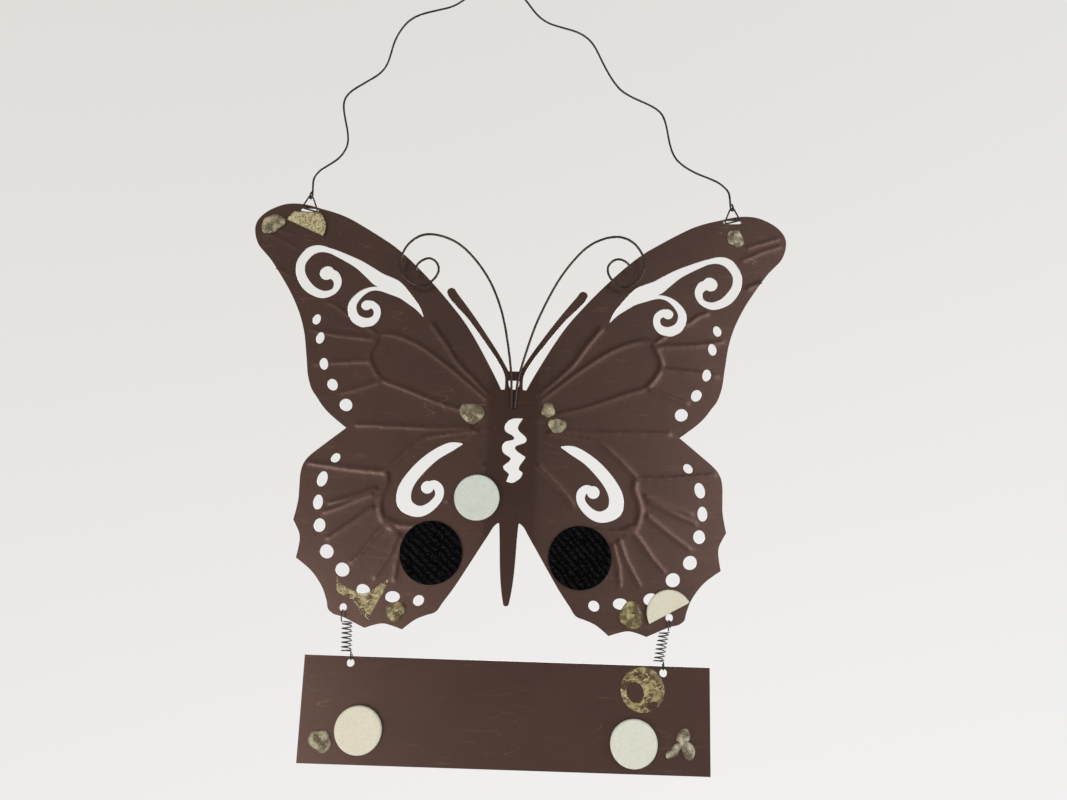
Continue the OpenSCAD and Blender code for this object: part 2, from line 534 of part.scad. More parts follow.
// ---- glue ----
// A drop of glue: an uneven dome of this length, width and height on a wing's or the sign's back
function lobed(a, seed) =
  1 + 0.1 * sin(2 * a + 70 * seed) + 0.07 * sin(3 * a + 130 * seed) - 0.05 * sin(5 * a);
drop_levels = [[1, 0], [0.94, 0.5], [0.66, 0.88]]; // share of the drop's width, and of its height
drop_shrink = 1.05; // what the lobes add to the length and width
lump = 0.12;
module drop(at, l, w, h, turn, seed, on_wing, seat) {
  n = drop_sides;
  function back_y(x) = on_wing ? bend(x) - sheet_t / 2 - seat : spring_y - sign_t / 2;
  function spot(r, a) =
    let (reach = r * lobed(a, seed) / drop_shrink / 2, u = reach * l * cos(a), v = reach * w * sin(a))
    at + [u * cos(turn) - v * sin(turn), u * sin(turn) + v * cos(turn)];
  rims = [for (level = drop_levels, k = [0:n - 1])
    let (q = spot(level[0], 360 * k / n), rise = h * level[1] * (1 + lump * sin(150 * k * seed)))
    [q[0], back_y(q[0]) - rise, q[1]]];
  peak = [at[0], back_y(at[0]) - h, at[1]];
  foot = [at[0], back_y(at[0]), at[1]];
  function id(i, k) = i * n + k % n;
  polyhedron(concat(rims, [peak, foot]), concat(
    [for (i = [0, 1], k = [0:n - 1]) [id(i, k), id(i + 1, k), id(i + 1, k + 1)]],
    [for (i = [0, 1], k = [0:n - 1]) [id(i, k), id(i + 1, k + 1), id(i, k + 1)]],
    [for (k = [0:n - 1]) [id(2, k), 3 * n, id(2, k + 1)]],
    [for (k = [0:n - 1]) [id(0, k + 1), 3 * n + 1, id(0, k)]]));
}
module wing_drop(share, l, w, h, turn, seed, seat = 0) drop(place(share), l, w, h, turn, seed, true, seat);
module sign_drop(at, l, w, h, turn, seed) drop(at + [sign_shift, sign_top_z], l, w, h, turn, seed, false, 0);

module glue_tip_left() color(glue_colour) hung() wing_drop([-93.3, 71.6], 15, 13, drop_h, 20, 1, vein_rise);
module glue_tip_right() color(glue_colour) hung() wing_drop([80.6, 71], 10, 12.5, drop_h, 10, 2);
module glue_root_left() color(glue_colour) hung() wing_drop([-14.3, 25], 15.5, 12, drop_h, 8, 3, vein_rise);
module glue_root_right() color(glue_colour) hung() {
  wing_drop([12.3, 26.2], 9, 8.5, drop_h, 0, 4, vein_rise);
  wing_drop([15.6, 22.7], 10.5, 9, drop_h, -30, 5, vein_rise);
}
module glue_lump_left() color(glue_colour) hung() wing_drop([-37.4, -19.5], 10.5, 12, 2 * drop_h, 15, 6);
module glue_lump_right() color(glue_colour) hung() wing_drop([42.4, -18.8], 13, 17, 2 * drop_h, -10, 7);

// A torn sheet of glue with a dip in its top edge, in mm about the wing's spring hole
torn_sheet = [[-5.1, 17.2], [-1, 12.6], [4.4, 9.6], [10.4, 7.7], [16.4, 10.2], [21.4, 14.7], [24.9, 16.2],
  [23.4, 11.7], [20.4, 5.7], [17.4, -0.3], [14.9, -6.3], [10.4, -3.8], [7.4, 1.7], [2.9, 5.2], [-3.6, 8.2]];
module glue_sheet_left() color(glue_colour) hung() wing_pad(0, glue_sheet_t)
  translate([-wing_hole_at[0], wing_hole_at[1]]) polygon(torn_sheet);

// What a lost pad left on the sign: a thin disc with two bare patches
module glue_disc_sign() color(glue_colour) hung() on_sign(glue_sheet_t) translate(disc_at) difference() {
  circle(d = disc_d, $fn = round_fn);
  translate([-4, -1.5]) oval(9, 11, 20);
  translate([5.5, -8]) oval(6, 3.4, 25);
}
module glue_corner_left() color(glue_colour) hung() sign_drop(corner_left_at, 13, 12, 1.5 * drop_h, 10, 8);
module glue_corner_right() color(glue_colour) hung() {
  sign_drop(corner_right_at + [1.5, -2], 8, 10, 1.5 * drop_h, 25, 9);
  sign_drop(corner_right_at + [-1, 5], 8, 8, drop_h, 0, 10);
  sign_drop(corner_right_at + [-6, -2.5], 11, 5.5, drop_h, 40, 11);
}

hanger_wire();
link_left();
link_right();
butterfly_plate();
antenna_left();
antenna_right();
spring_left();
spring_right();
sign_plate();
felt_pad_body();
felt_pad_sign_left();
felt_pad_sign_right();
half_felt_pad_wing();
half_felt_pad_tip();
hook_pad_left();
hook_pad_right();
glue_tip_left();
glue_tip_right();
glue_root_left();
glue_root_right();
glue_sheet_left();
glue_lump_left();
glue_lump_right();
glue_disc_sign();
glue_corner_left();
glue_corner_right();
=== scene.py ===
"""A hanging butterfly of pressed sheet steel, with a blank sign on two springs, seen from its back.

Metres, in the part's own frame: +Z up, +Y out of the ornament's front, and the origin under the
hanger's crest.
"""

import json
import math

import bpy
import numpy as np
from mathutils import Matrix, Vector, geometry, kdtree, noise
from mathutils.bvhtree import BVHTree

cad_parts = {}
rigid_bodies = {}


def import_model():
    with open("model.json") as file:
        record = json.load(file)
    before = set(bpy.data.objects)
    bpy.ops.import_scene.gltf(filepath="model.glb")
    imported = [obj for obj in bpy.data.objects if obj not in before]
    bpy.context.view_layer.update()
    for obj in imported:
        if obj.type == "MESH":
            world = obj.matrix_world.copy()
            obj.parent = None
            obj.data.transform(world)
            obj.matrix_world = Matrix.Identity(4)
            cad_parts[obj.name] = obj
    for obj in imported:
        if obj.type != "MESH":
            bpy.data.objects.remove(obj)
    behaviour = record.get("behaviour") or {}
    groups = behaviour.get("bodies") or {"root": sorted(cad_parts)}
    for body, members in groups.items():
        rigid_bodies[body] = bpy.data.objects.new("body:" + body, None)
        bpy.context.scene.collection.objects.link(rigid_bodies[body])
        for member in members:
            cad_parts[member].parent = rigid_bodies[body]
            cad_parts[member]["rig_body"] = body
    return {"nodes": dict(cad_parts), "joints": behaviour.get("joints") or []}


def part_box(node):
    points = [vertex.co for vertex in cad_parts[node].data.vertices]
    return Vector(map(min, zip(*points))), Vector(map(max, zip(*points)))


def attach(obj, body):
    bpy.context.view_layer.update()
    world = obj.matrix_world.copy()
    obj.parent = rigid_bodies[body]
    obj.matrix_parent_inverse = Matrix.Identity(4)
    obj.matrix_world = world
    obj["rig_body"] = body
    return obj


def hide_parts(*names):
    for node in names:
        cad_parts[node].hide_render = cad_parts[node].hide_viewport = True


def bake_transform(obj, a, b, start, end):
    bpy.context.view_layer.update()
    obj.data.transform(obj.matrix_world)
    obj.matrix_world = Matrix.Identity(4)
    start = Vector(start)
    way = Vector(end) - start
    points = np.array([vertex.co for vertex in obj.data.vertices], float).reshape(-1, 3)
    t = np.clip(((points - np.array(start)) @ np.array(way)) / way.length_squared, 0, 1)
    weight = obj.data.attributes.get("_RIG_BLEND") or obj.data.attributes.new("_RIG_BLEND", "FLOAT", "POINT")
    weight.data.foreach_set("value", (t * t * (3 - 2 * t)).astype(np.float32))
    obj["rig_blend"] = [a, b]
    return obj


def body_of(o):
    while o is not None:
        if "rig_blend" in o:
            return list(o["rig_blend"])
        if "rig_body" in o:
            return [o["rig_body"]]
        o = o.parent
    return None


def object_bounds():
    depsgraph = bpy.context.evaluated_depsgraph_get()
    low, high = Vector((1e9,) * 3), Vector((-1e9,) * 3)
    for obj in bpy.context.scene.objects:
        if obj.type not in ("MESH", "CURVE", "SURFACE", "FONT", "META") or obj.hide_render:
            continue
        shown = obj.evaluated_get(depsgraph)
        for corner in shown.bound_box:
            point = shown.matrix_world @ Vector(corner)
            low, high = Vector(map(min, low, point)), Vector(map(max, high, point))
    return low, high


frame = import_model()
cad_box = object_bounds()
nodes = frame["nodes"]

MM = 0.001

# ---- sizes that the frame doesn't state, in metres ----
SHEET_T = 0.8 * MM
VEIN_RISE = 0.5 * MM
BODY_W = 28 * MM
WING_ANGLE = math.radians(6)
FOLD_SOFTNESS = 1.0 * MM
BODY_X = 20 * MM  # the butterfly's middle, to the right of the hanger's crest
BODY_MIDDLE_Z = -333.3 * MM

# ---- the camera, as the photograph was taken: pixels of its 1067 x 800 frame ----
PHOTO_W = 1067
FOCAL_PX = 832
SENSOR_W = 36  # millimetres, as Blender has it
CAMERA_PITCH = math.radians(11)
CAMERA_ROLL = math.radians(1.8)
CAMERA_DISTANCE = 0.476
CAMERA_NEAR = 0.01
AIM_BESIDE_BODY = 11.5 * MM
AIM_ABOVE_BODY = 56.2 * MM


def make_camera():
    """Looks along +Y and a little up at the back, turned as the ornament lies in the photograph."""
    c, s = math.cos(CAMERA_ROLL), math.sin(CAMERA_ROLL)
    right = Vector((c, 0, s))
    down = Vector((s, 0, -c))
    toward = Vector((0, -1, 0))
    back = down * math.sin(CAMERA_PITCH) + toward * math.cos(CAMERA_PITCH)
    up = toward * math.sin(CAMERA_PITCH) - down * math.cos(CAMERA_PITCH)
    aim = Vector((BODY_X + AIM_BESIDE_BODY, fold_y(BODY_X), BODY_MIDDLE_Z + AIM_ABOVE_BODY))
    data = bpy.data.cameras.new("photo_camera")
    data.sensor_width = SENSOR_W
    data.lens = FOCAL_PX / PHOTO_W * data.sensor_width
    data.clip_start = CAMERA_NEAR
    camera = bpy.data.objects.new("photo_camera", data)
    turned = Matrix((right, up, back)).transposed().to_4x4()
    camera.matrix_world = Matrix.Translation(aim + back * CAMERA_DISTANCE) @ turned
    bpy.context.scene.collection.objects.link(camera)
    bpy.context.scene.camera = camera


# ---- the bent sheet ----
def middle_of(node):
    """Middle of a node's box."""
    low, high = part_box(node)
    return (low + high) / 2


# A link's middle lies in the bent wing, and from there the bend leads back to the flat body
LINK = middle_of("link_left")
BODY_Y = LINK.y - (abs(LINK.x - BODY_X) - BODY_W / 2) * math.tan(WING_ANGLE)


def fold_y(x):
    """Middle of the butterfly's sheet at x: flat along the body, with both wings bent forward."""
    out = abs(x - BODY_X) - BODY_W / 2
    rise = (out + math.sqrt(out * out + FOLD_SOFTNESS * FOLD_SOFTNESS)) / 2 * math.tan(WING_ANGLE)
    return BODY_Y + rise


# ---- nodes of materials and of the world ----
MIX_SHARE, MIX_A, MIX_B, MIX_RESULT = 0, 6, 7, 2  # a Mix node's sockets when it mixes colours


def srgb(r, g, b):
    """A colour of 0 to 255 as the linear values that shaders take."""
    return [v / 255 / 12.92 if v <= 10 else ((v / 255 + 0.055) / 1.055) ** 2.4
            for v in (r, g, b)] + [1]


def times(colour, share):
    """A linear colour made darker or lighter."""
    return [min(1, c * share) for c in colour[:3]] + [1]


class Nodes:
    """Makes a material's or a world's nodes and links them."""

    def __init__(self, tree):
        self.tree = tree
        tree.nodes.clear()

    def add(self, kind, settings=None, **sockets):
        """A node of this kind, with these settings, and with its sockets linked or set."""
        node = self.tree.nodes.new(kind)
        for key, value in (settings or {}).items():
            setattr(node, key, value)
        for key, value in sockets.items():
            self.put(node.inputs[key.replace("_", " ")], value)
        return node

    def put(self, socket, value):
        """Links a socket to another node's output, or sets it to a value."""
        if isinstance(value, bpy.types.NodeSocket):
            self.tree.links.new(value, socket)
        else:
            socket.default_value = value

    def place(self):
        """Position on the object."""
        return self.add("ShaderNodeTexCoord").outputs["Object"]

    def noise(self, size, detail, stretch=None):
        """Noise from 0 to 1. Its features have this size in metres, over stretch on each axis."""
        where = self.place()
        if stretch:
            where = self.add("ShaderNodeMapping", Vector=where, Scale=stretch).outputs["Vector"]
        return self.add("ShaderNodeTexNoise", Vector=where, Scale=1 / size,
                        Detail=detail).outputs["Fac"]

    def threads(self, size, detail, stretch):
        """Noise that falls to 0 along thin wandering lines."""
        return self.math("ABSOLUTE", self.math("SUBTRACT", self.noise(size, detail, stretch), 0.5))

    def band(self, value, low, high, to_low=0.0, to_high=1.0):
        """Spreads a value's range low to high over to_low to to_high, with soft ends."""
        node = self.add("ShaderNodeMapRange", {"interpolation_type": "SMOOTHSTEP"}, Value=value,
                        From_Min=low, From_Max=high, To_Min=to_low, To_Max=to_high)
        return node.outputs["Result"]

    def mix(self, share, a, b):
        """Colour a, going over to colour b with share."""
        node = self.add("ShaderNodeMix", {"data_type": "RGBA"})
        for socket, value in ((MIX_SHARE, share), (MIX_A, a), (MIX_B, b)):
            self.put(node.inputs[socket], value)
        return node.outputs[MIX_RESULT]

    def math(self, how, a, b=0.0):
        """A Math node's result on a and b."""
        node = self.add("ShaderNodeMath", {"operation": how})
        self.put(node.inputs[0], a)
        self.put(node.inputs[1], b)
        return node.outputs[0]

    def bump(self, height, depth):
        """Bumps of this depth in metres where height goes from 0 to 1."""
        return self.add("ShaderNodeBump", Height=height, Strength=1.0,
                        Distance=depth).outputs["Normal"]

    def shown(self):
        """1 for the camera's own rays, also through something clear, and 0 for light and shine."""
        path = self.add("ShaderNodeLightPath").outputs
        return self.math("MAXIMUM", path["Is Camera Ray"], path["Is Transmission Ray"])

    def surface(self, **sockets):
        """The material's shader, with these values."""
        shader = self.add("ShaderNodeBsdfPrincipled", **sockets)
        self.add("ShaderNodeOutputMaterial", Surface=shader.outputs[0])


def new_material(name):
    material = bpy.data.materials.new(name)
    material.use_nodes = True
    return material, Nodes(material.node_tree)


# ---- materials ----
PAINT_METALLIC = 0.62
PAINT_GLOSSIEST, PAINT_DULLEST = 0.28, 0.38  # roughness
CLOUD_SHADE, GRAIN_SHADE, SCRATCH_SHADE = 0.82, 0.6, 1.8  # of the colour that they lie in
FELT_FIBRE = 0.5 * MM
GLUE_GRIT = srgb(96, 80, 58)
GLUE_IOR = 1.48


def paint(name, colour, worn, grain=0.9 * MM, worn_share=0.35, skin=0.03 * MM):
    """Satin bronze-brown paint: cloudy and finely grained, with specks, streaks and thin scratches
    rubbed down to the worn colour."""
    material, n = new_material(name)
    fine = n.noise(grain, 2)
    cloud = n.noise(28 * MM, 4)
    speck = n.band(n.noise(1.1 * MM, 1), 0.68, 0.76)
    streak = n.band(n.noise(5 * MM, 6, stretch=(0.25, 1, 1.6)), 0.6, 0.8, 0, worn_share)
    base = n.mix(n.band(cloud, 0.35, 0.7, 0, 0.5), colour, times(colour, CLOUD_SHADE))
    base = n.mix(n.band(fine, 0.35, 0.7, 0, worn_share), base, times(colour, GRAIN_SHADE))
    base = n.mix(n.math("MULTIPLY", speck, worn_share), base, worn)
    base = n.mix(streak, base, worn)
    hair = n.threads(26 * MM, 2, stretch=(0.5, 1, 2.4))
    here_and_there = n.band(n.noise(34 * MM, 2), 0.56, 0.66, 0, worn_share)
    scratch = n.math("MULTIPLY", n.band(hair, 0.005, 0.001), here_and_there)
    base = n.mix(scratch, base, times(worn, SCRATCH_SHADE))
    n.surface(Base_Color=base, Roughness=n.band(fine, 0.3, 0.7, PAINT_GLOSSIEST, PAINT_DULLEST),
              Normal=n.bump(fine, skin), Metallic=PAINT_METALLIC)
    return material


def felt(name, colour, gap_shade_and_blotch_colour, stained=0.0, stain=None):
    """Pressed felt: short matted fibres, with a little painted shade between them, and stained where asked.
    """
    material, n = new_material(name)
    fibres = n.noise(FELT_FIBRE, 6, stretch=(1, 1, 2.2))
    cross = n.noise(0.9 * FELT_FIBRE, 6, stretch=(2.4, 1, 1))
    both = n.math("MULTIPLY", fibres, cross)
    # Painted shade: the darker colour between the fibres stands in for the shade in their gaps
    base = n.mix(n.band(both, 0.12, 0.4), gap_shade_and_blotch_colour, colour)
    # The same darker colour also gives soft blotches of tone at random
    base = n.mix(n.band(n.noise(7 * MM, 3), 0.5, 0.75, 0, 0.35), base, gap_shade_and_blotch_colour)
    if stained:
        blots = n.math("MULTIPLY", n.band(n.noise(1.3 * MM, 5), 0.46, 0.58), stained)
        base = n.mix(blots, base, stain)
    n.surface(Base_Color=base, Roughness=0.95, Sheen_Weight=0.1, Sheen_Roughness=0.6,
              Specular_IOR_Level=0.15, Normal=n.bump(both, 0.5 * MM))
    return material


def hook_tape(name):
    """Black woven tape, ribbed in slanting rows, under its hooks."""
    material, n = new_material(name)
    ribs = n.add("ShaderNodeTexWave", {"bands_direction": "DIAGONAL"}, Vector=n.place(),
                 Scale=1 / (8 * MM), Distortion=2.5, Detail=2).outputs["Fac"]
    hooks = n.band(n.noise(1.5 * MM, 2, stretch=(1, 1, 1.5)), 0.4, 0.62)
    base = n.mix(n.math("MULTIPLY", ribs, hooks), srgb(1, 1, 2), srgb(28, 28, 30))
    n.surface(Base_Color=base, Roughness=0.6, Specular_IOR_Level=0.02,
              Normal=n.bump(n.noise(0.6 * MM, 3), 0.2 * MM))
    return material


def glue(name, clear_colour, dusty_colour, cover_least, strands=0.0):
    """Dried hot glue: cloudy and half clear, with dust and grit stuck in it, a wet-looking skin,
    and drawn-out strands where asked."""
    material, n = new_material(name)
    dust = n.band(n.noise(5 * MM, 5), 0.35, 0.7)
    grit = n.band(n.noise(0.6 * MM, 3), 0.63, 0.75, 0, 0.5)
    base = n.mix(dust, clear_colour, dusty_colour)
    base = n.mix(grit, base, GLUE_GRIT)
    cover = n.band(dust, 0, 1, cover_least, min(1, cover_least + 0.35))
    if strands:
        line = n.band(n.threads(7 * MM, 4, stretch=(1, 1, 1.5)), 0.035, 0.012, 0, strands)
        base = n.mix(line, base, dusty_colour)
        cover = n.math("MAXIMUM", cover, line)
    n.surface(Base_Color=base, Roughness=n.band(dust, 0, 1, 0.12, 0.34), IOR=GLUE_IOR, Alpha=cover,
              Normal=n.bump(n.noise(2.2 * MM, 4), 0.6 * MM))
    return material


WIRE_LOOK = {"grain": 0.5 * MM, "worn_share": 0.12, "skin": 0.005 * MM}
SHEET_PAINT = paint("sheet_paint", srgb(75, 53, 45), srgb(108, 84, 74))
WIRE_PAINT = paint("wire_paint", srgb(52, 39, 34), srgb(92, 76, 68), **WIRE_LOOK)
DARK_WIRE = paint("dark_wire", srgb(44, 38, 37), srgb(96, 86, 78), **WIRE_LOOK)
# Each felt's second colour is painted shade between its fibres, and also its random blotches
FELT = felt("cream_felt", srgb(228, 222, 203), srgb(200, 194, 172))
FELT_GREY = felt("grey_white_felt", srgb(216, 220, 210), srgb(184, 190, 178))
FELT_WHITE = felt("white_felt", srgb(226, 226, 212), srgb(198, 198, 182))
FELT_GLUED = felt("glued_felt", srgb(208, 198, 162), srgb(164, 150, 108), 0.8, srgb(112, 93, 58))
HOOK_TAPE = hook_tape("hook_tape")
GLUE = glue("cloudy_glue", srgb(112, 98, 74), srgb(168, 158, 130), 0.55)
GLUE_OLIVE = glue("olive_glue", srgb(108, 92, 56), srgb(168, 154, 106), 0.55)
GLUE_PALE = glue("pale_glue", srgb(124, 110, 90), srgb(192, 184, 160), 0.5)
GLUE_FILM = glue("drawn_out_glue", srgb(104, 86, 56), srgb(186, 170, 120), 0.3, 0.8)


# ---- light, world and floor ----
LAMP_SIZE = 1.0
LAMPS = (  # name, place, watts and colour
    ("key", (-0.75, -0.75, -0.85), 12, (1, 0.985, 0.96)),
    ("fill", (0.95, -0.65, -0.25), 8.5, (0.97, 0.985, 1)),
    ("front", (0.1, 1.1, 0.1), 14, (1, 1, 1)))
ROOM_LIGHT = 0.36
ROOM_SHINE, GAP_SHINE = 0.95, 0.02
GAP_BESIDE, GAP_UNDER, GAP_AHEAD = (0.10, 0.26), (-0.02, -0.14), (-0.6, 0.0)  # its soft edges
SURROUND_DIM, SURROUND_BRIGHT = srgb(222, 220, 216), srgb(244, 243, 242)
BRIGHT_AHEAD, BRIGHTER_RIGHT, DIMMER_UP = 0.63, 0.25, 0.85
FLOOR_Z = cad_box[0].z - 1.0
FLOOR_REACH = 1.5
FLOOR_GLOW = 0.46


def make_lamps():
    """Soft light on the back from both sides, stronger from the lower left, and on the front."""
    for name, place, watts, colour in LAMPS:
        data = bpy.data.lights.new(name, "AREA")
        data.shape = "DISK"
        data.size = LAMP_SIZE
        data.energy = watts
        data.color = colour
        light = bpy.data.objects.new(name, data)
        light.location = place
        toward = Vector((BODY_X, 0, BODY_MIDDLE_Z)) - Vector(place)
        light.rotation_euler = toward.to_track_quat("-Z", "Y").to_euler()
        bpy.context.scene.collection.objects.link(light)


def make_world():
    """Plain white light, and a pale surround that the camera sees. What shines mirrors it too, with
    a dark gap above the camera, as the middle of the photographed sheet does."""
    world = bpy.data.worlds.new("pale_surround")
    world.use_nodes = True
    bpy.context.scene.world = world
    n = Nodes(world.node_tree)
    direction = n.add("ShaderNodeTexCoord").outputs["Generated"]
    axes = n.add("ShaderNodeSeparateXYZ", Vector=direction).outputs
    slope = n.math("SUBTRACT", n.math("MULTIPLY", axes["X"], BRIGHTER_RIGHT),
                   n.math("MULTIPLY", axes["Z"], DIMMER_UP))
    colour = n.mix(n.math("ADD", slope, BRIGHT_AHEAD), SURROUND_DIM, SURROUND_BRIGHT)
    beside = n.band(n.math("ABSOLUTE", axes["X"]), *GAP_BESIDE)
    under_it = n.band(axes["Z"], *GAP_UNDER)
    ahead = n.band(axes["Y"], *GAP_AHEAD)
    outside_gap = n.math("MAXIMUM", n.math("MAXIMUM", beside, under_it), ahead)
    light = n.add("ShaderNodeBackground", Color=(1, 1, 1, 1), Strength=ROOM_LIGHT)
    seen = n.add("ShaderNodeBackground", Color=colour, Strength=1.0)
    mirrored = n.add("ShaderNodeBackground", Color=colour,
                     Strength=n.band(outside_gap, 0, 1, GAP_SHINE, ROOM_SHINE))

    def either(share, a, b):
        mixed = n.add("ShaderNodeMixShader", Fac=share)
        n.put(mixed.inputs[1], a.outputs[0])
        n.put(mixed.inputs[2], b.outputs[0])
        return mixed

    glossy = n.add("ShaderNodeLightPath").outputs["Is Glossy Ray"]
    both = either(n.shown(), either(glossy, light, mirrored), seen)
    n.add("ShaderNodeOutputWorld", Surface=both.outputs[0])


def make_floor():
    """A plain pale floor, far below the ornament."""
    mesh = bpy.data.meshes.new("floor")
    corners = ((-1, -1), (1, -1), (1, 1), (-1, 1))
    mesh.from_pydata([(x * FLOOR_REACH, y * FLOOR_REACH, FLOOR_Z) for x, y in corners], [],
                     [(0, 1, 2, 3)])
    floor = bpy.data.objects.new("floor", mesh)
    bpy.context.scene.collection.objects.link(floor)
    material, n = new_material("pale_floor")
    n.surface(Base_Color=srgb(205, 205, 203), Roughness=0.9, Specular_IOR_Level=0.1,
              Normal=n.bump(n.noise(30 * MM, 3), 0.1 * MM), Emission_Color=(1, 0.995, 0.985, 1),
              Emission_Strength=n.math("MULTIPLY", n.shown(), FLOOR_GLOW))
    mesh.materials.append(material)


# ---- meshes ----
MICRONS = 1e6  # in a metre
CORNER = math.radians(38)  # an outline's turn that stays sharp
GRID_ROW = 0.87  # of the spacing, between the rows of a staggered grid
SAME_POINT = 1e-7
TINY = 1e-12
MOSTLY = 0.9  # of a direction that lies along an axis
WIRE_END_OUT, WIRE_END_WIDTH = 0.5, 0.6  # of the radius: how a wire's end is rounded
EDGE_R = 0.2 * MM
EDGE_ANGLE = math.radians(50)


def add_piece(name, vertices, faces, material):
    mesh = bpy.data.meshes.new(name)
    mesh.from_pydata([tuple(v) for v in vertices], [], [tuple(f) for f in faces])
    mesh.materials.append(material)
    mesh.shade_smooth()
    mesh.validate()
    piece = bpy.data.objects.new(name, mesh)
    bpy.context.scene.collection.objects.link(piece)
    return piece


def frame_along(points):
    """A route's points, with its tangent and one steady normal at each."""
    p = np.array(points, float)
    t = np.gradient(p, axis=0)
    t /= np.linalg.norm(t, axis=1)[:, None]
    n = np.zeros_like(t)
    last = np.array([1.0, 0, 0]) if abs(t[0][0]) < MOSTLY else np.array([0, 1.0, 0])
    for i, tangent in enumerate(t):
        side = last - tangent * np.dot(last, tangent)
        n[i] = last = side / np.linalg.norm(side)
    return p, t, n


def tube(name, points, radius, material, sides):
    """A round wire along a route, with rounded ends."""
    p, t, n = frame_along(points)
    b = np.cross(t, n)
    angles = np.linspace(0, 2 * math.pi, sides, endpoint=False)
    out = radius * WIRE_END_OUT
    centres = [p[0] - t[0] * out, *p, p[-1] + t[-1] * out]
    count = len(centres)
    vertices = []
    for k, (centre, i) in enumerate(zip(centres, [0, *range(len(p)), len(p) - 1])):
        r = radius * (WIRE_END_WIDTH if k in (0, count - 1) else 1)
        vertices += [centre + r * (math.cos(a) * n[i] + math.sin(a) * b[i]) for a in angles]
    faces = []
    for ring in range(0, (count - 1) * sides, sides):
        for k in range(sides):
            after = (k + 1) % sides
            faces.append((ring + k, ring + after, ring + sides + after, ring + sides + k))
    faces.append(tuple(reversed(range(sides))))
    faces.append(tuple(range((count - 1) * sides, count * sides)))
    return add_piece(name, vertices, faces, material)


def shown_faces(node, tilt):
    """A node's vertices, and its triangles whose normals have more than this share backward."""
    mesh = nodes[node].data
    mesh.calc_loop_triangles()
    co = np.empty(len(mesh.vertices) * 3)
    mesh.vertices.foreach_get("co", co)
    co = co.reshape(-1, 3)
    tri = np.array([t.vertices for t in mesh.loop_triangles])
    normal = np.cross(co[tri[:, 1]] - co[tri[:, 0]], co[tri[:, 2]] - co[tri[:, 0]])
    length = np.linalg.norm(normal, axis=1)
    return co, tri[(length > 0) & (normal[:, 1] < -tilt * length)]


def outlines(node, tilt=0.5):
    """The closed outlines, in x and z, of what a node shows from its back."""
    co, tri = shown_faces(node, tilt)
    flat = np.round(co[:, [0, 2]] * MICRONS).astype(int)
    edges = {}
    for t in tri:
        for a, b in ((t[0], t[1]), (t[1], t[2]), (t[2], t[0])):
            a, b = tuple(flat[a]), tuple(flat[b])
            if a == b:
                continue
            if (b, a) in edges:
                edges[(b, a)] -= 1
                if not edges[(b, a)]:
                    del edges[(b, a)]
            else:
                edges[(a, b)] = edges.get((a, b), 0) + 1
    follow = dict(edges.keys())
    loops = []
    while follow:
        start = next(iter(follow))
        loop, at = [], start
        while at in follow:
            loop.append(at)
            at = follow.pop(at)
        if len(loop) > 2 and at == start:
            loops.append(np.array(loop) / MICRONS)
    return loops


def smooth_loop(loop, spacing, corner=CORNER):
    """The loop as a smooth curve through its points, with its sharp corners kept."""
    step = np.roll(loop, -1, 0) - loop
    length = np.linalg.norm(step, axis=1)
    way = step / length[:, None]
    before, before_length = np.roll(way, 1, 0), np.roll(length, 1)
    turn = np.arccos(np.clip((before * way).sum(1), -1, 1))
    tangent = before * length[:, None] + way * before_length[:, None]
    tangent /= np.linalg.norm(tangent, axis=1)[:, None] + TINY
    points = []
    for i in range(len(loop)):
        j = (i + 1) % len(loop)
        m0 = (way[i] if turn[i] > corner else tangent[i]) * length[i]
        m1 = (way[i] if turn[j] > corner else tangent[j]) * length[i]
        pieces = max(1, math.ceil(length[i] / spacing))
        for k in range(pieces):
            t = k / pieces
            points.append((2 * t ** 3 - 3 * t ** 2 + 1) * loop[i] + (t ** 3 - 2 * t ** 2 + t) * m0
                          + (3 * t ** 2 - 2 * t ** 3) * loop[j] + (t ** 3 - t ** 2) * m1)
    return np.array(points)


def inside(points, loops):
    """Which points lie inside an odd number of loops."""
    odd = np.zeros(len(points), bool)
    x, z = points[:, 0], points[:, 1]
    for loop in loops:
        for (x0, z0), (x1, z1) in zip(loop, np.roll(loop, -1, 0)):
            if z0 != z1:
                crosses = (z0 > z) != (z1 > z)
                odd ^= crosses & (x < x0 + (z - z0) / (z1 - z0) * (x1 - x0))
    return odd


def grid(low, high, spacing):
    """Points of a staggered grid over a box."""
    rows = np.arange(low[1], high[1] + spacing, spacing * GRID_ROW)
    columns = np.arange(low[0], high[0] + spacing, spacing)
    return np.concatenate([
        np.column_stack([columns + (i % 2) * spacing / 2, np.full(len(columns), row)])
        for i, row in enumerate(rows)])


def distance_to(loops, points):
    """Distance of each point to the nearest loop point."""
    every = np.concatenate(loops)
    tree = kdtree.KDTree(len(every))
    for i, p in enumerate(every):
        tree.insert((p[0], p[1], 0), i)
    tree.balance()
    return np.array([tree.find((p[0], p[1], 0))[2] for p in points])


def fill(loops, points):
    """Triangles over the area that the loops enclose, through these inner points too."""
    corners, edges = [], []
    for loop in loops:
        first = len(corners)
        corners += [Vector(p) for p in loop]
        edges += [(first + i, first + (i + 1) % len(loop)) for i in range(len(loop))]
    corners += [Vector(p) for p in points]
    found = geometry.delaunay_2d_cdt(corners, edges, [], 0, SAME_POINT)
    flat = np.array([tuple(v) for v in found[0]])
    tri = np.array([f for f in found[2] if len(f) == 3])
    kept = tri[inside(flat[tri].mean(1), loops)]
    used = np.unique(kept)
    place = np.full(len(flat), -1)
    place[used] = np.arange(len(used))
    return flat[used], place[kept]


